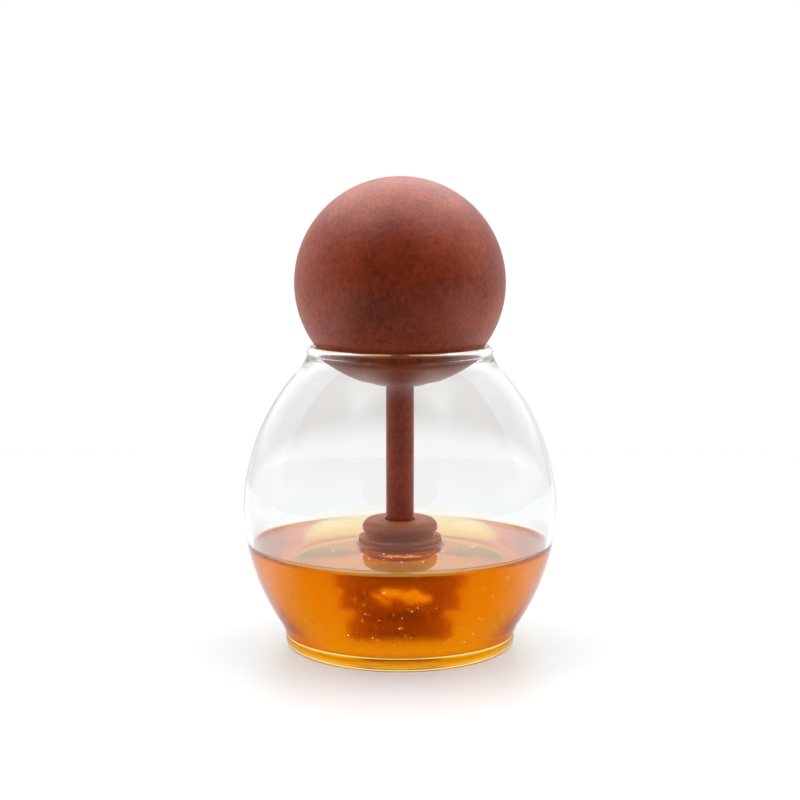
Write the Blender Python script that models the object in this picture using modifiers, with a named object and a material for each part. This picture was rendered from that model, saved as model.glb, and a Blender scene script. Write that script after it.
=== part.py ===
"""Glass honey jar with a wooden dipper.

A round blown-glass jar, honey up to a third of its height, and a dipper whose large wooden ball
rests in the jar's rim as the stopper. Metres, +Z up, origin at the centre of the foot.
"""

import math

import bmesh
import bpy
from mathutils import Matrix

# Lengths are given in millimetres and turned into metres where a mesh is made.
MM = 0.001
GAP = 0.3

# The jar's body is a superellipse turned round Z.
BODY_RADIUS = 45.0
BODY_HALF_HEIGHT = 54.0
BODY_MIDDLE_Z = 39.75
BODY_POWER = 1.88
WALL = 1.7
FLOOR_Z = 3.8
FLOOR_CORNER_HEIGHT = 4.5
FLOOR_CORNER_WIDTH = 3.2
FLOOR_CORNER_FULLNESS = 0.3

# The foot: the body runs into a crease over a low upright band, hollowed a little underneath.
FLARE_Z = 7.0
CREASE_Z = 4.0
CREASE_RADIUS = 33.2
BAND_HEIGHT = 1.2
FOOT_ROUND = 1.0
CONTACT_RADIUS = 32.1
HOLLOW_RADIUS = 22.0
HOLLOW_DEPTH = 0.6

# The neck and its rim, a fire-polished bead.
NECK_Z = 79.5
NECK_CORNER_Z = 82.1
INNER_NECK_Z = 78.3
INNER_NECK_CORNER = (24.9, 82.0)
BEAD_RADIUS = 1.5
BEAD_RING_RADIUS = 25.0
BEAD_Z = 84.9
BEAD_START_DEG = 250.0

# The ball stopper sits in the bead, and the rod is glued into it and into the head.
BALL_RADIUS = 30.0
BALL_SOCKET_DEPTH = 12.0
ROD_RADIUS = 4.0
ROD_BEVEL = 0.3

# The dipper's head: discs from its flat top down, and the thinner cores between them.
HEAD_TOP_Z = 36.2
HEAD_TOP_FLAT_RADIUS = 8.7
SHOULDER_DROP = 2.0
SHOULDER_CORNER = (0.4, 0.1)
DISC_PITCH = 4.9
DISC_THICKNESS = 3.1
DISC_EDGE = 0.7
DISC_RADII = (10.8, 12.0, 12.3, 11.4, 9.8)
CORE_RADII = (8.2, 9.0, 9.0, 8.2)
KNOB_HEIGHT = 5.2
KNOB_ROUND = 1.6
HEAD_SOCKET_DEPTH = 8.0

# The honey climbs a little where it touches wood and glass.
HONEY_LEVEL = 29.6
MENISCUS_RISE = 0.7
MENISCUS_REACH = 2.6
MENISCUS_CORNER = 0.5
WETTED_DISC = 1

# How finely the round shapes are cut.
JAR_STEPS = 48
WOOD_STEPS = 40
HONEY_STEPS = 36
BODY_POINTS = 11
HONEY_WALL_POINTS = 5
CORNER_POINTS = 4
SMALL_CURVE_POINTS = 3
BEAD_POINTS = 9
BALL_POINTS = 20
SHARP_DEG = 35.0

# Daylight colours of the materials, linear.
GLASS_COLOUR = (0.92, 0.94, 0.93, 1.0)
HONEY_COLOUR = (0.78, 0.24, 0.005, 1.0)
WOOD_COLOUR = (0.17, 0.055, 0.028, 1.0)


def ball_height():
    """Z of the ball's centre when it rests in the bead with the modelling gap."""
    reach = BALL_RADIUS + BEAD_RADIUS + GAP
    return BEAD_Z + math.sqrt(reach**2 - BEAD_RING_RADIUS**2)


def body_radius(z, inset=0.0):
    """Radius of the superellipse at height z, with both its half sizes less by inset."""
    share = abs(z - BODY_MIDDLE_Z) / (BODY_HALF_HEIGHT - inset)
    return (BODY_RADIUS - inset) * (1.0 - share**BODY_POWER) ** (1.0 / BODY_POWER)


def arc(centre_r, centre_z, radius, start_deg, end_deg, parts):
    """Points of an arc in the profile plane, 0 degrees outwards and 90 degrees up."""
    points = []
    for step in range(parts + 1):
        angle = math.radians(start_deg + (end_deg - start_deg) * step / parts)
        points.append((centre_r + radius * math.cos(angle), centre_z + radius * math.sin(angle)))
    return points


def bend(start, corner, end, parts):
    """Points of a quadratic curve from start to end, pulled towards corner, without its start."""
    points = []
    for step in range(1, parts + 1):
        t = step / parts
        weights = ((1 - t) ** 2, 2 * t * (1 - t), t * t)
        knots = (start, corner, end)
        points.append(tuple(sum(w * k[axis] for w, k in zip(weights, knots)) for axis in (0, 1)))
    return points


def wall_points(start_z, end_z, inset, parts):
    """Points of the superellipse from start_z to end_z, evenly spaced in height."""
    heights = [start_z + (end_z - start_z) * step / parts for step in range(parts + 1)]
    return [(body_radius(z, inset), z) for z in heights]


def inner_wall(inset, floor_z, top_z, parts):
    """Floor, rounded corner and wall of the jar's inside, from the axis up to top_z."""
    corner_top = floor_z + FLOOR_CORNER_HEIGHT
    floor_reach = body_radius(floor_z, inset)
    floor_edge = (floor_reach - FLOOR_CORNER_WIDTH, floor_z)
    corner = (floor_reach + FLOOR_CORNER_FULLNESS, floor_z)
    wall_start = (body_radius(corner_top, inset), corner_top)
    points = [(0.0, floor_z), floor_edge]
    points += bend(floor_edge, corner, wall_start, CORNER_POINTS)
    points += wall_points(corner_top, top_z, inset, parts)[1:]
    return points


def jar_profile():
    """The inside from the floor up, round the bead, and the outside down to the hollow foot."""
    points = inner_wall(WALL, FLOOR_Z, INNER_NECK_Z, BODY_POINTS)
    bead = arc(BEAD_RING_RADIUS, BEAD_Z, BEAD_RADIUS, BEAD_START_DEG, 0.0, BEAD_POINTS)
    points += bend(points[-1], INNER_NECK_CORNER, bead[0], SMALL_CURVE_POINTS)
    points += bead[1:]
    rim_side = bead[-1]
    neck = (body_radius(NECK_Z), NECK_Z)
    points += bend(rim_side, (rim_side[0], NECK_CORNER_Z), neck, CORNER_POINTS)
    points += wall_points(NECK_Z, FLARE_Z, 0.0, BODY_POINTS)[1:]
    points.append((CREASE_RADIUS, CREASE_Z))
    points.append((CREASE_RADIUS, CREASE_Z - BAND_HEIGHT))
    band_foot = (CREASE_RADIUS, FOOT_ROUND)
    points.append(band_foot)
    points += bend(band_foot, (CREASE_RADIUS, 0.0), (CONTACT_RADIUS, 0.0), SMALL_CURVE_POINTS)
    hollow_rim = (HOLLOW_RADIUS, 0.0)
    hollow_middle = (0.0, HOLLOW_DEPTH)
    points.append(hollow_rim)
    points += bend(hollow_rim, (HOLLOW_RADIUS / 2, HOLLOW_DEPTH), hollow_middle, SMALL_CURVE_POINTS)
    return points


def disc_span(index, grown):
    """Top and underside of a disc of the head, both moved out by grown. The last disc is the knob."""
    top = HEAD_TOP_Z - DISC_PITCH * index
    height = KNOB_HEIGHT if index == len(DISC_RADII) - 1 else DISC_THICKNESS
    return top + grown, top - height - grown


def head_side(grown=0.0):
    """The head from the edge of its top flat down to its underside's centre, moved out by grown."""
    points = []
    for index, disc_radius in enumerate(DISC_RADII):
        top, bottom = disc_span(index, grown)
        radius = disc_radius + grown
        if index == 0:
            flat = (HEAD_TOP_FLAT_RADIUS, top)
            inward, down = SHOULDER_CORNER
            points.append(flat)
            shoulder = (radius, top - SHOULDER_DROP)
            points += bend(flat, (radius - inward, top - down), shoulder, SMALL_CURVE_POINTS)
        else:
            points.append((CORE_RADII[index - 1] + grown, top))
            points.append((radius - DISC_EDGE, top))
            points.append((radius, top - DISC_EDGE))
        if index < len(CORE_RADII):
            points.append((radius, bottom + DISC_EDGE))
            points.append((radius - DISC_EDGE, bottom))
            points.append((CORE_RADII[index] + grown, bottom))
        else:
            side = (radius, bottom + KNOB_ROUND)
            under = (radius - KNOB_ROUND, bottom)
            points.append(side)
            points += bend(side, (radius, bottom), under, SMALL_CURVE_POINTS)
            points.append((0.0, bottom))
    return points


def head_profile():
    """The head with the blind hole that the rod is glued into."""
    hole = ROD_RADIUS + GAP
    floor = HEAD_TOP_Z - HEAD_SOCKET_DEPTH
    return [(0.0, floor), (hole, floor), (hole, HEAD_TOP_Z)] + head_side()


def ball_profile():
    """The ball from its top down, and the blind hole in its underside."""
    centre = ball_height()
    hole = ROD_RADIUS + GAP
    hole_mouth_deg = -math.degrees(math.acos(hole / BALL_RADIUS))
    round_side = arc(0.0, centre, BALL_RADIUS, 90.0, hole_mouth_deg, BALL_POINTS)
    top = (0.0, centre + BALL_RADIUS)
    ceiling = round_side[-1][1] + BALL_SOCKET_DEPTH
    return [top] + round_side[1:] + [(hole, ceiling), (0.0, ceiling)]


def honey_profile():
    """Round the sunken part of the head, over the surface to the wall, and down inside the glass."""
    shore_z = HONEY_LEVEL + MENISCUS_RISE
    around_head = [point for point in head_side(GAP) if point[1] <= shore_z]
    around_head.reverse()
    inset = WALL + GAP
    wood_edge = DISC_RADII[WETTED_DISC] + GAP
    glass_edge = body_radius(shore_z, inset)
    wood_shore = (wood_edge, shore_z)
    wood_corner = (wood_edge + MENISCUS_CORNER, HONEY_LEVEL)
    calm_start = (wood_edge + MENISCUS_REACH, HONEY_LEVEL)
    calm_end = (glass_edge - MENISCUS_REACH, HONEY_LEVEL)
    glass_corner = (glass_edge - MENISCUS_CORNER, HONEY_LEVEL)
    glass_shore = (glass_edge, shore_z)
    surface = [wood_shore]
    surface += bend(wood_shore, wood_corner, calm_start, SMALL_CURVE_POINTS)
    surface.append(calm_end)
    surface += bend(calm_end, glass_corner, glass_shore, SMALL_CURVE_POINTS)
    wall = inner_wall(inset, FLOOR_Z + GAP, shore_z, HONEY_WALL_POINTS)
    wall.reverse()
    return around_head + surface + wall[1:]


def material(name, colour, roughness, transmission=0.0, ior=1.5):
    made = bpy.data.materials.new(name)
    made.use_nodes = True
    shader = made.node_tree.nodes["Principled BSDF"]
    shader.inputs["Base Color"].default_value = colour
    shader.inputs["Roughness"].default_value = roughness
    shader.inputs["Metallic"].default_value = 0.0
    shader.inputs["Transmission Weight"].default_value = transmission
    shader.inputs["IOR"].default_value = ior
    made.diffuse_color = colour
    return made


def turned(name, profile, steps, finish, collection):
    """An object turned from a profile of (radius, height) in millimetres."""
    mesh = bpy.data.meshes.new(name)
    points = [(radius * MM, 0.0, height * MM) for radius, height in profile]
    edges = [(i, i + 1) for i in range(len(points) - 1)]
    mesh.from_pydata(points, edges, [])
    mesh.materials.append(finish)
    made = bpy.data.objects.new(name, mesh)
    collection.objects.link(made)
    screw = made.modifiers.new("Turn", "SCREW")
    screw.axis = "Z"
    screw.angle = math.tau
    screw.steps = steps
    screw.render_steps = steps
    screw.use_merge_vertices = True
    screw.merge_threshold = 0.05 * MM
    screw.use_smooth_shade = True
    return made


def dowel(name, radius, low_z, high_z, finish, collection):
    """A round stick with a small bevel at both ends, standing on the axis."""
    mesh = bpy.data.meshes.new(name)
    form = bmesh.new()
    bmesh.ops.create_cone(
        form,
        cap_ends=True,
        segments=WOOD_STEPS,
        radius1=radius * MM,
        radius2=radius * MM,
        depth=(high_z - low_z) * MM,
        matrix=Matrix.Translation((0.0, 0.0, (low_z + high_z) / 2 * MM)),
    )
    rims = [edge for edge in form.edges if edge.verts[0].co.z == edge.verts[1].co.z]
    bmesh.ops.bevel(form, geom=rims, offset=ROD_BEVEL * MM, segments=1, affect="EDGES")
    form.to_mesh(mesh)
    form.free()
    mesh.materials.append(finish)
    mesh.shade_smooth()
    mesh.set_sharp_from_angle(angle=math.radians(SHARP_DEG))
    made = bpy.data.objects.new(name, mesh)
    collection.objects.link(made)
    return made


def build():
    for old in list(bpy.data.objects):
        bpy.data.objects.remove(old)
    parts = bpy.data.collections.new("honey_jar")
    bpy.context.scene.collection.children.link(parts)

    glass = material("clear_glass", GLASS_COLOUR, 0.02, transmission=1.0, ior=1.47)
    honey = material("clear_honey", HONEY_COLOUR, 0.05, transmission=0.9, ior=1.49)
    wood = material("dark_wood", WOOD_COLOUR, 0.5)

    turned("glass_jar", jar_profile(), JAR_STEPS, glass, parts)
    turned("honey", honey_profile(), HONEY_STEPS, honey, parts)
    turned("dipper_head", head_profile(), WOOD_STEPS, wood, parts)
    turned("stopper_ball", ball_profile(), WOOD_STEPS, wood, parts)

    rod_low = HEAD_TOP_Z - HEAD_SOCKET_DEPTH + GAP
    ball_hole_ceiling = ball_profile()[-1][1]
    dowel("dipper_rod", ROD_RADIUS, rod_low, ball_hole_ceiling - GAP, wood, parts)


build()
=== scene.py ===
# %% [markdown]
# # A glass honey jar with a wooden dipper
#
# The jar is blown glass, a third full of honey, and closed by a wooden ball that carries the
# dipper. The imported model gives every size. This script dresses it: each node is replaced by a
# finely turned surface of the same form, and each surface gets a procedural finish.

# %% Load the fixed frame
import math

import bpy
import numpy as np
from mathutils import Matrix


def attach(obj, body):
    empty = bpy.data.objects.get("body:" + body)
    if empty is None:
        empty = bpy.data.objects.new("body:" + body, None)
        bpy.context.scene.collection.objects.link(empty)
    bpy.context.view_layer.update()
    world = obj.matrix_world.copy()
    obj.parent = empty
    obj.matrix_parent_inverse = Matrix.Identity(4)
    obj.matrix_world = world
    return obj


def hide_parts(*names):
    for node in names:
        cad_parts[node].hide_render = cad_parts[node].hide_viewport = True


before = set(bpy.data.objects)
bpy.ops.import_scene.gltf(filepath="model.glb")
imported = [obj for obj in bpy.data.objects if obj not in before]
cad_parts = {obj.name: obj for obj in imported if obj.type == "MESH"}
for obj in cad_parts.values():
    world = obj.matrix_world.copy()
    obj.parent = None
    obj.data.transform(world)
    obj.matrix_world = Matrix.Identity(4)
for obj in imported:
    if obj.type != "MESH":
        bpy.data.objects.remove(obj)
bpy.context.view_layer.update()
print("nodes:", sorted(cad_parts))

# %% [markdown]
# ## Sizes
#
# All the forms are drawn in millimetres, as a maker would, and turned into metres where a mesh
# is made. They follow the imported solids. The neck, the foot's rounding and the head's grooves are
# refined a little, and the modelling gaps are closed where liquid wets glass or wood: a gap of
# air there would show as a silvery skin.

# %% Sizes of the jar, in millimetres
MM = 0.001
GAP = 0.3

BODY_RADIUS = 45.0
BODY_HALF_HEIGHT = 54.0
BODY_MIDDLE_Z = 39.75
BODY_POWER = 1.88
WALL = 1.7
FLOOR_Z = 3.8
FLOOR_CORNER_HEIGHT = 4.5
FLOOR_CORNER_WIDTH = 3.2
FLOOR_CORNER_FULLNESS = 0.3

FLARE_Z = 7.0
CREASE_Z = 4.0
CREASE_RADIUS = 33.2
CREASE_SHARE = 0.25
BAND_HEIGHT = 1.2
FOOT_ROUND = 2.2
CONTACT_RADIUS = 31.1
HOLLOW_RADIUS = 22.0
HOLLOW_DEPTH = 0.6

NECK_Z = 79.0
NECK_CORNER = (26.9, 82.2)
INNER_NECK_Z = 78.0
INNER_NECK_CORNER = (25.4, 81.2)
BEAD_RADIUS = 1.5
BEAD_RING_RADIUS = 25.0
BEAD_Z = 84.9
BEAD_START_DEG = 230.0
BEAD_END_DEG = -25.0
print("the jar is", 2 * BODY_RADIUS, "mm across and", BEAD_Z + BEAD_RADIUS, "mm high")

# %% Sizes of the dipper and the honey, in millimetres
BALL_RADIUS = 30.0
BALL_SOCKET_DEPTH = 12.0
SETTLED = 0.28
ROD_RADIUS = 4.0
ROD_EASE = 0.3

HEAD_TOP_Z = 36.2
HEAD_TOP_FLAT_RADIUS = 8.7
SHOULDER_DROP = 2.0
SHOULDER_CORNER = (0.4, 0.1)
DISC_PITCH = 4.9
DISC_THICKNESS = 3.1
DISC_EDGE = 0.5
DISC_RADII = (10.8, 12.0, 12.3, 11.4, 9.8)
CORE_RADII = (9.9, 9.6, 10.6, 8.2)
KNOB_HEIGHT = 5.2
KNOB_ROUND = 1.6
HEAD_SOCKET_DEPTH = 8.0
HOLE_EASE = 0.2

HONEY_LEVEL = 29.2
GLASS_SHORE_Z = 31.1
WOOD_SHORE_Z = 30.1
MENISCUS_REACH = 2.5
MENISCUS_CORNER = 0.35
WETTED_DISC = 1
WETTING = 0.1

BALL_TO_BEAD = BALL_RADIUS + BEAD_RADIUS + GAP
BALL_Z = BEAD_Z + math.sqrt(BALL_TO_BEAD**2 - BEAD_RING_RADIUS**2) - SETTLED
print("the ball's centre stands at", round(BALL_Z, 2), "mm")

# %% [markdown]
# ## Curves for a profile
#
# A turned piece is known once its half section is. That section is put together from a few
# kinds of curve, each worked out as one array of (radius, height) rows: a straight run, a
# rounded corner, an arc of a circle, and the superellipse of the jar's belly. The Spin tool or
# a Screw modifier would turn a drawn section too, but an array can be refined and measured
# before it is turned.

# %% Straight run, corner, arc and belly
FINE_STEP, MEDIUM_STEP, COARSE_STEP = 0.3, 0.4, 0.8


def straight(start, end, longest=COARSE_STEP):
    """Points from start to end: start + t (end - start), with no step over longest."""
    start, end = np.array(start, float), np.array(end, float)
    parts = max(1, math.ceil(np.hypot(*(end - start)) / longest))
    t = np.linspace(0.0, 1.0, parts + 1)[:, None]
    return start + t * (end - start)


def corner(start, pull, end, parts=14):
    """Quadratic curve: (1 - t)^2 start + 2 t (1 - t) pull + t^2 end."""
    t = np.linspace(0.0, 1.0, parts + 1)[:, None]
    return (1 - t) ** 2 * np.array(start) + 2 * t * (1 - t) * np.array(pull) + t**2 * np.array(end)


def arc(centre, radius, start_deg, end_deg, parts):
    """Circle round centre: centre + radius (cos a, sin a), 0 degrees outwards."""
    a = np.radians(np.linspace(start_deg, end_deg, parts + 1))
    return np.array(centre) + radius * np.column_stack([np.cos(a), np.sin(a)])


def belly_radius(z, inset=0.0):
    """Radius r at height z where (r / a)^p + (|z - middle| / b)^p = 1, a and b less by inset."""
    share = np.abs(z - BODY_MIDDLE_Z) / (BODY_HALF_HEIGHT - inset)
    return (BODY_RADIUS - inset) * (1.0 - share**BODY_POWER) ** (1.0 / BODY_POWER)


def belly(low_z, high_z, inset=0.0, parts=90):
    """The belly's curve between two heights, evenly spaced in height."""
    z = np.linspace(low_z, high_z, parts + 1)
    return np.column_stack([belly_radius(z, inset), z])


def chain(*runs):
    """One profile out of runs that follow each other, with the repeated points left out."""
    points = np.vstack(runs)
    step = np.hypot(*np.diff(points, axis=0).T)
    return points[np.concatenate([[True], step > 1e-4])]


print("belly, widest radius:", belly(7.0, 79.5)[:, 0].max().round(2), "mm")

# %% [markdown]
# ## Turning a profile
#
# The profile is carried round the axis as a grid: rows run along the profile, columns round the
# jar. Both ends lie on the axis, so each is closed by a fan of triangles. The volume inside
# follows from the faces, and its sign tells whether they look outwards, so a mesh that came out
# inside out is turned before Blender sees it.

# %% Turn a profile into a closed mesh
def signed_volume(points, faces):
    """Sum of a . (b x c) / 6 over triangles, which is positive where the faces look outwards."""
    a, b, c = (points[faces[:, k]] for k in range(3))
    return np.einsum("ij,ij->", a, np.cross(b, c)) / 6.0


def turned(name, profile, steps=240, wetted=None):
    """Surface (r cos a, r sin a, z) of a profile (r, z), for as many angles a as there are steps.

    wetted marks the profile's segments where glass and honey touch, for the materials.
    """
    rings = profile[1:-1]
    a = np.linspace(0.0, math.tau, steps, endpoint=False)
    radius = rings[:, :1] + np.zeros(steps)
    height = rings[:, 1:] + np.zeros(steps)
    grid = np.stack([radius * np.cos(a), radius * np.sin(a), height], axis=-1).reshape(-1, 3)
    poles = np.array([[0.0, 0.0, profile[0, 1]], [0.0, 0.0, profile[-1, 1]]])
    points = np.vstack([grid, poles]) * MM

    here = np.arange(len(grid)).reshape(len(rings), steps)
    beside = np.roll(here, -1, axis=1)
    quads = np.stack([here[:-1], beside[:-1], beside[1:], here[1:]], axis=-1).reshape(-1, 4)
    first = np.full(steps, len(grid))
    fan = np.column_stack([first, beside[0], here[0]])
    end_fan = np.column_stack([first + 1, here[-1], beside[-1]])
    triangles = np.vstack([quads[:, :3], quads[:, [0, 2, 3]], fan, end_fan])
    volume = signed_volume(points, triangles)
    if volume < 0.0:
        quads, fan, end_fan = quads[:, ::-1], fan[:, ::-1], end_fan[:, ::-1]

    mesh = bpy.data.meshes.new(name)
    mesh.from_pydata(points.tolist(), [], quads.tolist() + fan.tolist() + end_fan.tolist())
    mesh.polygons.foreach_set("use_smooth", np.ones(len(mesh.polygons), dtype=bool))
    mesh.validate()
    if wetted is not None:
        rows = np.concatenate([wetted[1:-1], wetted[:1], wetted[-1:]]).astype(float)
        mark = mesh.attributes.new("wetted", "FLOAT", "FACE")
        mark.data.foreach_set("value", np.repeat(rows, steps))
    piece = bpy.data.objects.new(name, mesh)
    bpy.context.scene.collection.objects.link(piece)
    print(f"{name}: {len(triangles)} triangles, {abs(volume) * 1e6:.1f} cm3")
    return piece


# %% [markdown]
# ## The glass
#
# The jar is one shell: up the inside, round the fire-polished bead at the mouth, and down the
# outside to the foot. A Solidify modifier could thicken a single surface, but blown glass isn't
# equally thick everywhere. It gathers in the floor and the foot, and those thick places bend
# light into the bright lines at the bottom, so the inside and the outside are drawn apart.

# %% Inside of the jar
def inside(inset, floor_z, top_z, parts=80):
    """Floor, rounded corner and wall, from the axis up to top_z."""
    corner_top = floor_z + FLOOR_CORNER_HEIGHT
    floor_reach = belly_radius(floor_z, inset)
    floor_edge = (floor_reach - FLOOR_CORNER_WIDTH, floor_z)
    pull = (floor_reach + FLOOR_CORNER_FULLNESS, floor_z)
    wall_start = (belly_radius(corner_top, inset), corner_top)
    return chain(
        straight((0.0, floor_z), floor_edge),
        corner(floor_edge, pull, wall_start, 18),
        belly(corner_top, top_z, inset, parts),
    )


print("inside, widest radius:", inside(WALL, FLOOR_Z, INNER_NECK_Z)[:, 0].max().round(2), "mm")

# %% Outside of the foot
def foot():
    """From the flare over the crease and its low band to the hollow under the jar."""
    flare = (belly_radius(FLARE_Z), FLARE_Z)
    crease = (CREASE_RADIUS, CREASE_Z)
    band_low = (CREASE_RADIUS, CREASE_Z - BAND_HEIGHT)
    band_foot = (CREASE_RADIUS, FOOT_ROUND)
    above = np.array(crease) + CREASE_SHARE * (np.array(flare) - np.array(crease))
    hollow_rim = (HOLLOW_RADIUS, 0.0)
    middle = (0.0, HOLLOW_DEPTH)
    return chain(
        straight(flare, above, MEDIUM_STEP),
        corner(above, crease, band_low, 10),
        straight(band_low, band_foot, MEDIUM_STEP),
        corner(band_foot, (CREASE_RADIUS, 0.0), (CONTACT_RADIUS, 0.0), 10),
        straight((CONTACT_RADIUS, 0.0), hollow_rim),
        corner(hollow_rim, (HOLLOW_RADIUS / 2, HOLLOW_DEPTH), middle, 24),
    )


print("the foot has", len(foot()), "points and stands on a ring out to", CONTACT_RADIUS, "mm")

# %% Whole glass shell
def glass_profile():
    """Inside, bead and outside in one run from axis to axis."""
    inner_top = (belly_radius(INNER_NECK_Z, WALL), INNER_NECK_Z)
    bead = arc((BEAD_RING_RADIUS, BEAD_Z), BEAD_RADIUS, BEAD_START_DEG, BEAD_END_DEG, 40)
    neck = (belly_radius(NECK_Z), NECK_Z)
    return chain(
        inside(WALL, FLOOR_Z, INNER_NECK_Z),
        corner(inner_top, INNER_NECK_CORNER, bead[0], 20),
        bead,
        corner(bead[-1], NECK_CORNER, neck, 20),
        belly(NECK_Z, FLARE_Z),
        foot(),
    )


section = glass_profile()
inner_count = len(inside(WALL, FLOOR_Z, INNER_NECK_Z))
middles = (section[:-1] + section[1:]) / 2
under_honey = (np.arange(len(middles)) < inner_count) & (middles[:, 1] < GLASS_SHORE_Z)
glass = turned("glass_shell", section, steps=264, wetted=under_honey)

# %% [markdown]
# ## The wood
#
# The ball, the rod and the dipper's head are turned from dark hardwood. The ball is a true
# sphere with a blind hole for the rod. The head is a stack of discs on a thinner core, and its
# arrises are eased by a touch of sandpaper, which is what catches the light on real turned work.

# %% Ball and rod
def ball_profile():
    """Circle from the top down to the hole, then up the hole's wall to its ceiling."""
    hole = ROD_RADIUS + GAP
    mouth_deg = -math.degrees(math.acos(hole / BALL_RADIUS))
    skin = arc((0.0, BALL_Z), BALL_RADIUS, 90.0, mouth_deg, 150)
    skin[0, 0] = 0.0
    ceiling = skin[-1, 1] + BALL_SOCKET_DEPTH
    return chain(skin, straight(skin[-1], (hole, ceiling)), straight((hole, ceiling), (0.0, ceiling)))


def rod_profile():
    """A dowel with eased ends, from its lower end to its upper end."""
    low = HEAD_TOP_Z - HEAD_SOCKET_DEPTH + GAP
    high = ball_profile()[-1, 1] - GAP
    side, ease = ROD_RADIUS, ROD_EASE
    return chain(
        straight((0.0, low), (side - ease, low)),
        corner((side - ease, low), (side, low), (side, low + ease), 6),
        straight((side, low + ease), (side, high - ease)),
        corner((side, high - ease), (side, high), (side - ease, high), 6),
        straight((side - ease, high), (0.0, high)),
    )


ball = turned("wooden_ball", ball_profile(), steps=256)
rod = turned("wooden_rod", rod_profile(), steps=96)

# %% Side of the head
def head_side(grown=0.0):
    """Discs and cores from the edge of the top flat to the underside's centre, grown all round."""
    runs = []
    for index, disc in enumerate(DISC_RADII):
        last = index == len(DISC_RADII) - 1
        top = HEAD_TOP_Z - DISC_PITCH * index + grown
        bottom = HEAD_TOP_Z - DISC_PITCH * index - (KNOB_HEIGHT if last else DISC_THICKNESS) - grown
        radius = disc + grown
        if index == 0:
            inward, down = SHOULDER_CORNER
            flat = (HEAD_TOP_FLAT_RADIUS, top)
            runs.append(corner(flat, (radius - inward, top - down), (radius, top - SHOULDER_DROP)))
        else:
            core = CORE_RADII[index - 1] + grown
            runs.append(straight((core, top), (radius - DISC_EDGE, top), FINE_STEP))
            runs.append(corner((radius - DISC_EDGE, top), (radius, top), (radius, top - DISC_EDGE), 8))
        if last:
            side = (radius, bottom + KNOB_ROUND)
            under = (radius - KNOB_ROUND, bottom)
            runs.append(straight(runs[-1][-1], side, FINE_STEP))
            runs.append(corner(side, (radius, bottom), under, 12))
            runs.append(straight(under, (0.0, bottom)))
        else:
            core = CORE_RADII[index] + grown
            edge = (radius, bottom + DISC_EDGE)
            runs.append(straight(runs[-1][-1], edge, FINE_STEP))
            runs.append(corner(edge, (radius, bottom), (radius - DISC_EDGE, bottom), 8))
            runs.append(straight((radius - DISC_EDGE, bottom), (core, bottom), FINE_STEP))
            next_top = HEAD_TOP_Z - DISC_PITCH * (index + 1) + grown
            runs.append(straight((core, bottom), (core, next_top), FINE_STEP))
    return chain(*runs)


print("the head's underside is", head_side()[-1, 1].round(2), "mm up")

# %% Whole head
def head_profile():
    """The blind hole for the rod, the flat top, and the side down to the underside."""
    hole = ROD_RADIUS + GAP
    floor = HEAD_TOP_Z - HEAD_SOCKET_DEPTH
    return chain(
        straight((0.0, floor), (hole, floor)),
        straight((hole, floor), (hole, HEAD_TOP_Z - HOLE_EASE), MEDIUM_STEP),
        corner((hole, HEAD_TOP_Z - HOLE_EASE), (hole, HEAD_TOP_Z), (hole + HOLE_EASE, HEAD_TOP_Z), 6),
        straight((hole + HOLE_EASE, HEAD_TOP_Z), (HEAD_TOP_FLAT_RADIUS, HEAD_TOP_Z), FINE_STEP),
        head_side(),
    )


head = turned("dipper_head_turned", head_profile(), steps=192)

# %% [markdown]
# ## The honey
#
# Honey wets both glass and wood, so its surface climbs a little at each. Its body reaches a
# tenth of a millimetre into the glass and into the wood: light that leaves the glass is then in
# honey at once, with no film of air between them.

# %% Honey body
def honey_profile():
    """Round the sunken head, over the surface to the wall, and down inside the glass.

    The second result marks the segments that lie against the glass.
    """
    cavity = head_side(-WETTING)
    cavity = cavity[cavity[:, 1] <= WOOD_SHORE_Z][::-1]
    wood_edge = DISC_RADII[WETTED_DISC] - WETTING
    inset = WALL - WETTING
    glass_edge = belly_radius(GLASS_SHORE_Z, inset)
    calm = (wood_edge + MENISCUS_REACH, HONEY_LEVEL), (glass_edge - MENISCUS_REACH, HONEY_LEVEL)
    wood_shore, glass_shore = (wood_edge, WOOD_SHORE_Z), (glass_edge, GLASS_SHORE_Z)
    shore = corner(wood_shore, (wood_edge + MENISCUS_CORNER, HONEY_LEVEL), calm[0], 20)
    far_shore = corner(calm[1], (glass_edge - MENISCUS_CORNER, HONEY_LEVEL), glass_shore, 20)
    open_part = chain(cavity, shore, straight(calm[0], calm[1]), far_shore)
    body = inside(inset, FLOOR_Z - WETTING, GLASS_SHORE_Z, 60)[::-1]
    whole = chain(open_part, body)
    return whole, np.arange(len(whole) - 1) >= len(open_part) - 1


honey_section, against_glass = honey_profile()
honey = turned("honey_body", honey_section, steps=240, wetted=against_glass)

# %% [markdown]
# ## Froth and bubbles
#
# Honey that a dipper has been stirred in holds air. A little froth is caught in a groove of the
# head, on the camera's side, and fine bubbles hang in the honey and float on it. A bubble is
# repeated many times, so each is a ball of only a few dozen faces, and all of them are one mesh.
# Particles could scatter them too, but then they would be no part of the mesh.

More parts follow.
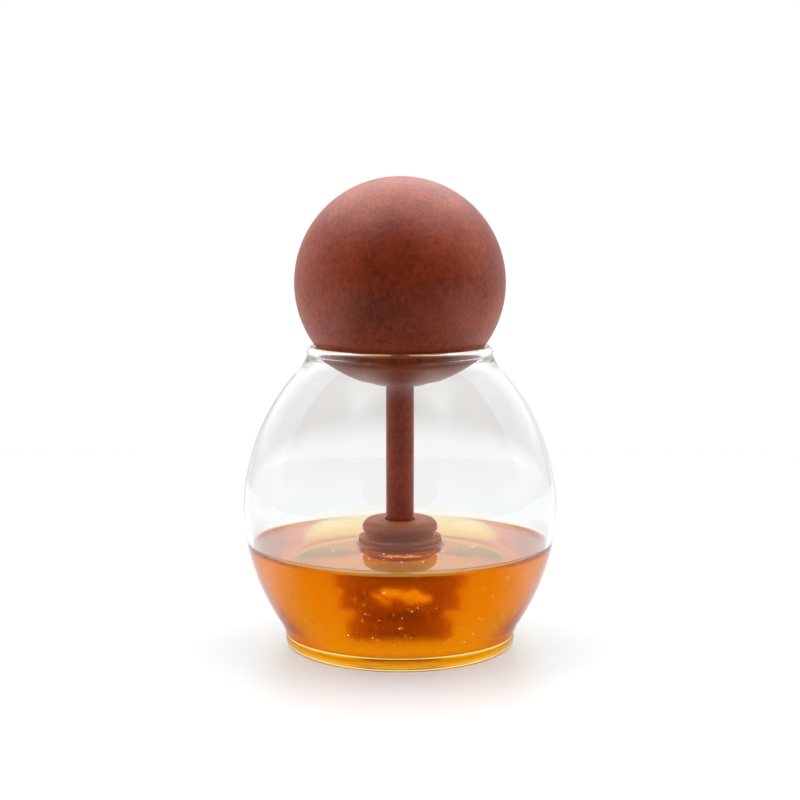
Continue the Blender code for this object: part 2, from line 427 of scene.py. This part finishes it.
# %% Froth in the groove
def froth(name, angles_deg, heights, radius, half_height, depth, chance, parts=90, sides=20):
    """A flat, ragged pillow along the groove.

    At share s of its length its middle stands at a blend of the two angles and heights, and a
    ring of points goes round it: height + h cos(f), radius + depth h sin(f). Its half height h
    is half_height sin(pi s)^0.45, made ragged by slow waves and by chance at each edge.
    """
    s = np.linspace(0.0, 1.0, parts + 1)[1:-1, None]
    f = np.linspace(0.0, math.tau, sides, endpoint=False)
    waves = 1 + 0.16 * np.sin(19 * s + 2 * np.cos(f)) + 0.14 * np.sin(11 * s + 1.3 + np.sin(f))
    upper, lower = chance.normal(0.0, 0.2, (2, parts - 1, 1))
    jags = upper * np.clip(np.cos(f), 0, 1) + lower * np.clip(-np.cos(f), 0, 1)
    h = half_height * np.sin(np.pi * s) ** 0.45 * np.clip(waves + jags, 0.15, 2.0)
    a = np.radians(angles_deg[0] + s * (angles_deg[1] - angles_deg[0]))
    z = heights[0] + s * (heights[1] - heights[0]) + h * np.cos(f)
    r = radius + depth * h * np.sin(f)
    rings = np.stack([r * np.cos(a), r * np.sin(a), z], axis=-1)
    return closed_tube(name, rings)


def closed_tube(name, rings):
    """Mesh of rings of points (row, side, xyz) in mm, each end closed by a fan to its middle."""
    rows, sides = rings.shape[:2]
    ends = rings[[0, -1]].mean(axis=1)
    points = np.vstack([rings.reshape(-1, 3), ends]) * MM
    here = np.arange(rows * sides).reshape(rows, sides)
    beside = np.roll(here, -1, axis=1)
    quads = np.stack([here[:-1], beside[:-1], beside[1:], here[1:]], axis=-1).reshape(-1, 4)
    first = np.full(sides, rows * sides)
    fans = np.vstack(
        [np.column_stack([first, beside[0], here[0]]), np.column_stack([first + 1, here[-1], beside[-1]])]
    )
    triangles = np.vstack([quads[:, :3], quads[:, [0, 2, 3]], fans])
    if signed_volume(points, triangles) < 0.0:
        quads, fans = quads[:, ::-1], fans[:, ::-1]
    mesh = bpy.data.meshes.new(name)
    mesh.from_pydata(points.tolist(), [], quads.tolist() + fans.tolist())
    mesh.polygons.foreach_set("use_smooth", np.ones(len(mesh.polygons), dtype=bool))
    mesh.validate()
    piece = bpy.data.objects.new(name, mesh)
    bpy.context.scene.collection.objects.link(piece)
    print(f"{name}: {len(triangles)} triangles")
    return piece


GROOVE_FRONT = 12.5
FROTH_SEED = 5
froth_chance = np.random.default_rng(FROTH_SEED)
pocket = froth(
    "froth_in_groove",
    angles_deg=(-109.0, -58.0),
    heights=(23.3, 21.5),
    radius=GROOVE_FRONT,
    half_height=1.4,
    depth=0.25,
    chance=froth_chance,
)
wisp = froth(
    "froth_wisp",
    angles_deg=(-119.0, -98.0),
    heights=(23.0, 20.2),
    radius=GROOVE_FRONT,
    half_height=0.6,
    depth=0.3,
    chance=froth_chance,
    parts=40,
)

# %% Bubbles
def bubbles(name, centres, radii, rings=5, sides=8):
    """Small balls: centre + radius (sin u cos v, sin u sin v, cos u), u down and v round."""
    u = np.linspace(0.0, math.pi, rings + 1)[1:-1, None]
    v = np.linspace(0.0, math.tau, sides, endpoint=False)
    ball_points = np.stack([np.sin(u) * np.cos(v), np.sin(u) * np.sin(v), np.cos(u) + 0 * v], axis=-1)
    unit = np.vstack([ball_points.reshape(-1, 3), [[0, 0, 1], [0, 0, -1]]])
    here = np.arange((rings - 1) * sides).reshape(rings - 1, sides)
    beside = np.roll(here, -1, axis=1)
    low, high, far_low, far_high = here[1:], here[:-1], beside[1:], beside[:-1]
    walls = np.stack([high, low, far_low, high, far_low, far_high], axis=-1).reshape(-1, 3)
    top = np.full(sides, len(unit) - 2)
    caps = np.vstack(
        [np.column_stack([top, here[0], beside[0]]), np.column_stack([top + 1, beside[-1], here[-1]])]
    )
    faces = np.vstack([walls, caps])
    points = (centres[:, None, :] + radii[:, None, None] * unit).reshape(-1, 3) * MM
    offsets = np.arange(len(centres))[:, None, None] * len(unit)
    all_faces = (faces + offsets).reshape(-1, 3)
    assert signed_volume(points, all_faces) > 0.0
    mesh = bpy.data.meshes.new(name)
    mesh.from_pydata(points.tolist(), [], all_faces.tolist())
    mesh.polygons.foreach_set("use_smooth", np.ones(len(mesh.polygons), dtype=bool))
    piece = bpy.data.objects.new(name, mesh)
    bpy.context.scene.collection.objects.link(piece)
    print(f"{name}: {len(centres)} bubbles, {len(all_faces)} triangles")
    return piece


def bubble_places(chance, deep, floating):
    """Places in the honey, most of them close under the wall, and a few afloat on top of it.

    A bubble in the honey stands at radius wall - (wall - clear) u^3, with u even from 0 to 1.
    """
    deep_z = chance.uniform(DEEP_LOW_Z, DEEP_HIGH_Z, deep)
    wall = belly_radius(deep_z, WALL) - OFF_WALL
    deep_r = wall - (wall - CLEAR_OF_HEAD) * chance.uniform(0.0, 1.0, deep) ** 3
    deep_a = chance.uniform(0.0, math.tau, deep)
    deep_size = SMALL_BUBBLE + (LARGE_BUBBLE - SMALL_BUBBLE) * chance.uniform(0.0, 1.0, deep) ** 2
    top_a = chance.normal(CAMERA_SIDE, AFLOAT_SPREAD, floating)
    top_r = chance.uniform(*AFLOAT_RADII, floating)
    top_size = chance.uniform(*AFLOAT_SIZES, floating)
    r, a = np.concatenate([deep_r, top_r]), np.concatenate([deep_a, top_a])
    z = np.concatenate([deep_z, np.full(floating, HONEY_LEVEL)])
    centres = np.column_stack([r * np.cos(a), r * np.sin(a), z])
    return centres, np.concatenate([deep_size, top_size])


BUBBLE_SEED = 11
DEEP_LOW_Z, DEEP_HIGH_Z = 8.0, 28.2
OFF_WALL, CLEAR_OF_HEAD = 0.5, 13.2
SMALL_BUBBLE, LARGE_BUBBLE = 0.11, 0.24
CAMERA_SIDE, AFLOAT_SPREAD = -math.pi / 2, 0.9
AFLOAT_RADII, AFLOAT_SIZES = (15.5, 26.0), (0.12, 0.24)
places, sizes = bubble_places(np.random.default_rng(BUBBLE_SEED), deep=260, floating=30)
specks = bubbles("honey_bubbles", places, sizes)

# %% [markdown]
# ## Writing shader maths in Python
#
# A finish is a graph of nodes. Written out node by node it is long and hard to read, so one
# small class wraps an output socket and lets Python's operators add the Math nodes. Every other
# node comes from one method, which sets the node's settings first and its sockets after.

# %% Sockets with arithmetic
class Signal:
    """An output socket that takes part in arithmetic: each operator adds one Math node."""

    def __init__(self, tree, socket):
        self.tree = tree
        self.socket = socket

    def math(self, operation, first, second):
        """Add one Math node: signals are linked to its inputs, and numbers are set on them."""
        node = self.tree.nodes.new("ShaderNodeMath")
        node.operation = operation
        for plug, value in zip(node.inputs, (first, second)):
            if isinstance(value, Signal):
                self.tree.links.new(value.socket, plug)
            else:
                plug.default_value = value
        return Signal(self.tree, node.outputs[0])

    def __add__(self, other):
        return self.math("ADD", self, other)

    def __mul__(self, other):
        return self.math("MULTIPLY", self, other)

    def __sub__(self, other):
        return self.math("SUBTRACT", self, other)

    def __rsub__(self, other):
        return self.math("SUBTRACT", other, self)

    __radd__ = __add__
    __rmul__ = __mul__


# %% Materials with one way to add a node
class Finish:
    """The node tree of a material or of the world."""

    def __init__(self, owner):
        owner.use_nodes = True
        self.owner = owner
        self.tree = owner.node_tree
        self.tree.nodes.clear()

    def node(self, kind, settings=None, sockets=None, output=0):
        """Add a node: its settings come first, then the values or links of its sockets."""
        made = self.tree.nodes.new("ShaderNode" + kind)
        for key, value in (settings or {}).items():
            setattr(made, key, value)
        for key, value in (sockets or {}).items():
            if isinstance(value, Signal):
                self.tree.links.new(value.socket, made.inputs[key])
            else:
                made.inputs[key].default_value = value
        return Signal(self.tree, made.outputs[output]) if made.outputs else made

    def blend(self, share, first, second):
        """Mix two colours, the second by share."""
        return self.node(
            "Mix",
            {"data_type": "RGBA", "clamp_factor": True},
            {0: share, 6: first, 7: second},
            output=2,
        )

    def band(self, value, low, high, low_out=0.0, high_out=1.0):
        """Ease from low_out to high_out while value goes from low to high."""
        return self.node(
            "MapRange",
            {"interpolation_type": "SMOOTHSTEP"},
            {"Value": value, 1: low, 2: high, 3: low_out, 4: high_out},
        )


def dress(piece, finish, node):
    """Give a piece its material, hide the node that it stands for, and attach it to its body."""
    piece.data.materials.clear()
    piece.data.materials.append(finish.owner)
    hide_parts(node)
    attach(piece, "root")
    print(piece.name, "stands for", node, "in", finish.owner.name)


# %% [markdown]
# ## Wood finish
#
# The wood is dark and reddish with a satin oil finish. Close to, it shows fine mottling, small
# dark pores that run a little with the grain, and faint rings left by the turning chisel. All
# three are noise in the piece's own coordinates, stretched to fit, and the pores also dent the
# surface a little through the bump.

# %% Wood
def wood_finish(name, light, dark, painted_honey_light, roughness, stretch=(1.0, 1.0, 0.75)):
    """Dark hardwood: mottled colour, pores, turning lines, and a lighter colour painted under the honey
    for the light that the honey carries onto it.
    """
    finish = Finish(bpy.data.materials.new(name))
    place = finish.node("TexCoord", output="Object")
    along = finish.node("Mapping", None, {"Vector": place, "Scale": stretch})
    mottle = finish.node(
        "TexNoise", None, {"Vector": along, "Scale": 800.0, "Detail": 5.0, "Roughness": 0.65}
    )
    cloud = finish.node("TexNoise", None, {"Vector": place, "Scale": 70.0, "Detail": 3.0})
    fleck_noise = finish.node("TexNoise", None, {"Vector": along, "Scale": 1500.0, "Detail": 1.5})
    flecks = finish.band(fleck_noise, 0.62, 0.72)
    spot_noise = finish.node("TexNoise", None, {"Vector": place, "Scale": 330.0, "Detail": 1.0})
    spots = finish.band(spot_noise, 0.71, 0.8)
    rings = finish.node("Mapping", None, {"Vector": place, "Scale": (1, 1, 40)})
    lines = finish.node("TexNoise", None, {"Vector": rings, "Scale": 40.0, "Detail": 2.0})

    tone = finish.band(mottle * 0.55 + cloud * 0.38 + lines * 0.07, 0.32, 0.68)
    colour = finish.blend(tone, dark, light)
    height = finish.node("SeparateXYZ", None, {"Vector": place}, output="Z")
    # Below the honey line the wood turns lighter and more orange: painted light for the honey's light on
    # it.
    under = finish.band(height, (HONEY_LEVEL - 2.6) * MM, (HONEY_LEVEL - 1.0) * MM, 1.0, 0.0)
    colour = finish.blend(under, colour, painted_honey_light)
    pore_colour = (dark[0] * 0.4, dark[1] * 0.4, dark[2] * 0.5, 1.0)
    colour = finish.blend(flecks * 0.4 + spots * 0.45, colour, pore_colour)
    rough = roughness + (lines - 0.5) * 0.08 + flecks * 0.1
    relief = mottle * 0.3 + lines * 0.2 - flecks * 0.5 - spots * 0.4
    bump = finish.node("Bump", None, {"Strength": 0.2, "Distance": 0.0001, "Height": relief})
    shader = finish.node(
        "BsdfPrincipled",
        None,
        {
            "Base Color": colour,
            "Roughness": rough,
            "IOR": 1.45,
            "Specular IOR Level": 0.5,
            "Normal": bump,
        },
    )
    finish.node("OutputMaterial", None, {"Surface": shader})
    return finish


dark_wood = wood_finish(
    "dark_oiled_wood",
    light=(0.4, 0.058, 0.011, 1),
    dark=(0.2, 0.018, 0.003, 1),
    painted_honey_light=(0.4, 0.1, 0.03, 1),
    roughness=0.41,
)
head_wood = wood_finish(
    "sanded_dark_wood",
    light=(0.42, 0.11, 0.04, 1),
    dark=(0.31, 0.07, 0.025, 1),
    painted_honey_light=(0.88, 0.26, 0.05, 1),
    roughness=0.5,
)
dress(ball, dark_wood, "stopper_ball")
dress(rod, dark_wood, "dipper_rod")
dress(head, head_wood, "dipper_head")

# %% [markdown]
# ## Glass finish
#
# Clear glass needs little: full transmission and the right index of refraction. Blown glass has
# a faint waviness from the mould and the flame, so a very low, wide noise bends the normal. Its
# foot carries the honey's yellow light round to the front in thin lines. That could be left to
# the light paths, but many are too long to be followed, so painted light stands for them: a
# yellow tint by height, a painted dark line between the bright ones, and a faint glow in one
# thin line.

# %% Glass
def glass_finish():
    """Clear glass, index 1.47, with a trace of waviness, and the honey's yellow light painted into its
    foot.

    Where honey wets it the glass lets light straight on, and the honey's own face bends it.
    """
    finish = Finish(bpy.data.materials.new("clear_glass_finish"))
    place = finish.node("TexCoord", output="Object")
    wave = finish.node("TexNoise", None, {"Vector": place, "Scale": 45.0, "Detail": 1.0})
    bump = finish.node("Bump", None, {"Strength": 0.06, "Distance": 0.0004, "Height": wave})
    height = finish.node("SeparateXYZ", None, {"Vector": place}, output="Z")
    # Painted light: a yellow band at the crease and a yellow foot stand for the honey's light carried
    # round in the foot. A dark orange line between the bright ones is painted shade.
    crease = finish.band(height, 0.0022, 0.0032) - finish.band(height, 0.0052, 0.0064)
    painted_dark_line = finish.band(height, 0.0026, 0.0029) - finish.band(height, 0.0030, 0.0034)
    above_foot = finish.band(height, 0.0024, 0.0034)
    clear = finish.blend(above_foot, (1.0, 0.94, 0.62, 1), (0.985, 0.996, 0.995, 1))
    tint = finish.blend(crease, clear, (1.0, 0.82, 0.3, 1))
    tint = finish.blend(painted_dark_line * 0.6, tint, (0.55, 0.2, 0.03, 1))
    # Painted light: a faint glow in one thin line low on the foot.
    lit_line = finish.band(height, 0.0011, 0.0015) - finish.band(height, 0.0017, 0.0022)
    shader = finish.node(
        "BsdfPrincipled",
        None,
        {
            "Base Color": tint,
            "Roughness": 0.0,
            "IOR": 1.47,
            "Transmission Weight": 1.0,
            "Emission Color": finish.blend(lit_line, (0, 0, 0, 1), (0.04, 0.14, 0.03, 1)),
            "Emission Strength": 1.0,
            "Normal": bump,
        },
    )
    gone = finish.node("BsdfTransparent")
    wetted = finish.node("Attribute", {"attribute_name": "wetted"}, output=2)
    mixed = finish.node("MixShader", None, {0: wetted, 1: shader, 2: gone})
    finish.node("OutputMaterial", None, {"Surface": mixed})
    return finish


dress(glass, glass_finish(), "glass_jar")

# %% [markdown]
# ## Honey finish
#
# Honey's colour isn't on its surface. Light loses its blue at once, its green over a few
# centimetres and hardly any red, so the colour comes from an absorbing volume.

# %% Honey
def honey_finish():
    """Clear honey, index 1.49, coloured by the way that light goes through it."""
    finish = Finish(bpy.data.materials.new("amber_honey_finish"))
    place = finish.node("TexCoord", output="Object")
    wave = finish.node("TexNoise", None, {"Vector": place, "Scale": 60.0, "Detail": 1.0})
    bump = finish.node("Bump", None, {"Strength": 0.05, "Distance": 0.0004, "Height": wave})
    shader = finish.node(
        "BsdfPrincipled",
        None,
        {
            "Base Color": (1.0, 0.97, 0.9, 1.0),
            "Roughness": 0.0,
            "IOR": 1.49,
            "Transmission Weight": 1.0,
            "Normal": bump,
        },
    )
    wall_shader = finish.node(
        "BsdfPrincipled",
        None,
        {
            "Base Color": (1.0, 1.0, 1.0, 1.0),
            "Roughness": 0.7,
            "IOR": 1.04,
            "Transmission Weight": 1.0,
        },
    )
    wetted = finish.node("Attribute", {"attribute_name": "wetted"}, output=2)
    surface = finish.node("MixShader", None, {0: wetted, 1: shader, 2: wall_shader})
    clear = finish.node("VolumeAbsorption", None, {"Color": (0.978, 0.787, 0.0, 1), "Density": 100.0})
    cloudy = finish.node(
        "VolumeScatter", None, {"Color": (1.0, 0.8, 0.1, 1), "Density": 2.5, "Anisotropy": 0.0}
    )
    depth = finish.node("AddShader", None, {0: clear, 1: cloudy})
    finish.node("OutputMaterial", None, {"Surface": surface, "Volume": depth})
    return finish


dress(honey, honey_finish(), "honey")

# %% [markdown]
# ## Froth finish
#
# Froth is pale because light is turned round in it many times. Some of the light that it shows
# comes from behind and from its own depth, so a little emission, a painted glow, stands for that
# part. Bubbles close under the glass have the same finish, but paler and glowing more: painted
# glints for the light that each small bubble catches.

# %% Froth
def froth_finish(name, dull, pale, dull_light, pale_light):
    """Pale froth with finer and coarser cells, and a painted glow for the light that it gives back from
    its depth.
    """
    finish = Finish(bpy.data.materials.new(name))
    place = finish.node("TexCoord", output="Object")
    cells = finish.node("TexNoise", None, {"Vector": place, "Scale": 900.0, "Detail": 3.0})
    streaks = finish.node("Mapping", None, {"Vector": place, "Scale": (1, 1, 6)})
    lines = finish.node("TexNoise", None, {"Vector": streaks, "Scale": 260.0, "Detail": 2.0})
    tone = finish.band(cells * 0.5 + lines * 0.5, 0.35, 0.62)
    colour = finish.blend(tone, dull, pale)
    light = finish.blend(tone, dull_light, pale_light)
    bump = finish.node("Bump", None, {"Strength": 0.4, "Distance": 0.0002, "Height": cells})
    shader = finish.node(
        "BsdfPrincipled",
        None,
        {
            "Base Color": colour,
            "Roughness": 0.4,
            "Emission Color": light,
            "Emission Strength": 1.0,
            "Normal": bump,
        },
    )
    finish.node("OutputMaterial", None, {"Surface": shader})
    return finish


# The froth's emission is a painted glow.
froth_look = froth_finish(
    "honey_froth_and_glow",
    dull=(0.85, 0.45, 0.1, 1),
    pale=(1.0, 0.72, 0.3, 1),
    dull_light=(0.45, 0.16, 0.0, 1),
    pale_light=(0.85, 0.42, 0.03, 1),
)
# Painted glints: the bubbles' paler colour and stronger emission stand for the light that they catch.
bubble_glint_look = froth_finish(
    "honey_bubble_glints",
    dull=(0.9, 0.6, 0.4, 1),
    pale=(1.0, 0.8, 0.6, 1),
    dull_light=(0.7, 0.3, 0.15, 1),
    pale_light=(1.0, 0.65, 0.4, 1),
)
for air, look in ((pocket, froth_look), (wisp, froth_look), (specks, bubble_glint_look)):
    air.data.materials.append(look.owner)
    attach(air, "root")

# %% [markdown]
# ## Studio
#
# The jar stands on a white acrylic sheet in soft light: a bright wall behind, bright walls at
# the sides, a large soft light above, and little light from the camera's side. That last part
# matters, because it is what leaves the ball dark in the middle and lighter towards its edges.

# %% Floor
def floor():
    """A sheet of white acrylic just under the jar, lit a little from beneath, with painted light and
    shade: its glow is stronger in front than behind, and in front of the jar it is darker to the things
    that it lights and black in outside reflections.
    """
    left, front, back, z = 0.7, -0.6, 0.33, -0.0002
    mesh = bpy.data.meshes.new("acrylic_floor")
    corners = [(-left, front, z), (left, front, z), (left, back, z), (-left, back, z)]
    mesh.from_pydata(corners, [], [(0, 1, 2, 3)])
    sheet = bpy.data.objects.new("acrylic_floor", mesh)
    bpy.context.scene.collection.objects.link(sheet)
    finish = Finish(bpy.data.materials.new("white_acrylic"))
    place = finish.node("TexCoord", output="Object")
    across = finish.node("SeparateXYZ", None, {"Vector": place}, output="X")
    depth = finish.node("SeparateXYZ", None, {"Vector": place}, output="Y")
    scattered = finish.node("LightPath", output="Diffuse Depth")
    reflected = finish.node("LightPath", output="Is Reflection Ray")
    matt = finish.band(scattered, 0.0, 1.0)
    # Painted shade: in front of the jar the floor turns darker for light that it bounces onto other
    # things, and black in reflections seen from outside the glass.
    near = 1 - finish.band(depth + across * across * 4.0, -0.03, 0.03)
    inside = finish.band(finish.node("LightPath", output="Transmission Depth"), 0.0, 1.0)
    shade = near * (matt * 0.42 + (1 - matt) * (1 - inside) * reflected)
    # Painted light: the floor's glow is stronger in front of the jar than behind it, and a little weaker
    # far behind.
    glow = finish.band(depth, -0.09, 0.0, 0.65, 0.43) - finish.band(depth, 0.05, 0.2) * 0.07
    bright = finish.node(
        "BsdfPrincipled",
        None,
        {
            "Base Color": (0.2, 0.206, 0.212, 1),
            "Roughness": 0.4,
            "IOR": 1.45,
            "Emission Color": finish.blend(glow, (0, 0, 0, 1), (1, 0.98, 0.96, 1)),
            "Emission Strength": 1.0,
        },
    )
    dark = finish.node("Emission", None, {"Color": (1, 1, 1, 1), "Strength": 0.0})
    shader = finish.node("MixShader", None, {0: shade, 1: bright, 2: dark})
    finish.node("OutputMaterial", None, {"Surface": shader})
    mesh.materials.append(finish.owner)
    return sheet


print(floor().name, "lies under the jar")

# %% Light
def studio_light(front=0.0, side=5.3, behind=2.2, above=3.6, gloss=(0.18, 0.85, 2.0)):
    """A world that is bright behind and above, and dim on the camera's side.

    What is seen straight is white, and what is seen through glass is a pale wall. Matt wood sees
    the full strength of the lights, and a mirror sees the three of gloss: side, behind and above.
    """
    finish = Finish(bpy.data.worlds.new("soft_studio"))
    towards = finish.node("TexCoord")
    across = finish.node("SeparateXYZ", None, {"Vector": towards}, output=0)
    away = finish.node("SeparateXYZ", None, {"Vector": towards}, output=1)
    up = finish.node("SeparateXYZ", None, {"Vector": towards}, output=2)
    matt = finish.band(finish.node("LightPath", output="Diffuse Depth"), 0.0, 1.0)
    side_now = gloss[0] + matt * (side - gloss[0])
    behind_now = gloss[1] + matt * (behind - gloss[1])
    above_now = gloss[2] + matt * (above - gloss[2])
    sides = finish.band(away, -0.15, 0.25, front, 1.0) * side_now
    back = finish.band(away, 0.05, 0.85) * (behind_now - side_now)
    boxes = finish.band(away + across * across * 1.3, -0.45, 0.05)
    narrow = 1 - finish.band(across * across, 0.22, 0.42) * 0.65
    overhead = finish.band(up + away * 0.25, 0.5, 0.8) * boxes * narrow * above_now
    wall = finish.band(up, -0.155, -0.125, 1.06, 0.79) + finish.band(up, -0.06, 0.1, 0.0, 0.32)
    seen = finish.node("LightPath", output="Is Camera Ray")
    bent = finish.node("LightPath", output="Is Transmission Ray")
    turns = finish.band(finish.node("LightPath", output="Glossy Depth"), 0.0, 1.0)
    shallow = 1 - finish.band(finish.node("LightPath", output="Transmission Depth"), 2.0, 3.0)
    returned = turns * shallow * (1 - finish.band(away, -0.35, 0.0))
    through = bent * (1 - matt) * (1 - returned)
    strength = (sides + back + overhead) * (1 - through) + wall * through
    strength = strength * (1 - seen) + seen
    paint = finish.node("Background", None, {"Color": (1, 1, 1, 1), "Strength": strength})
    finish.node("OutputWorld", None, {"Surface": paint})
    bpy.context.scene.world = finish.owner


studio_light()
print("the world is", bpy.context.scene.world.name)

# %% Camera and picture
CAMERA_PLACE = (0.0, -0.454324, 0.130764)
CAMERA_DOWN_DEG = 7.527
CAMERA_LENS = 72.0


def camera():
    """A 72 mm lens at the height of the ball, tipped down a little."""
    data = bpy.data.cameras.new("photo_camera")
    data.lens = CAMERA_LENS
    data.sensor_width = 36.0
    made = bpy.data.objects.new("photo_camera", data)
    made.location = CAMERA_PLACE
    made.rotation_euler = (math.radians(90.0 - CAMERA_DOWN_DEG), 0.0, 0.0)
    bpy.context.scene.collection.objects.link(made)
    bpy.context.scene.camera = made


camera()
scene = bpy.context.scene
scene.view_settings.view_transform = "Standard"
scene.view_settings.look = "None"
scene.cycles.max_bounces = 24
scene.cycles.transmission_bounces = 24
scene.cycles.glossy_bounces = 12
scene.cycles.volume_bounces = 4
scene.cycles.transparent_max_bounces = 16
print("camera at", CAMERA_PLACE, "looking down", CAMERA_DOWN_DEG, "degrees")
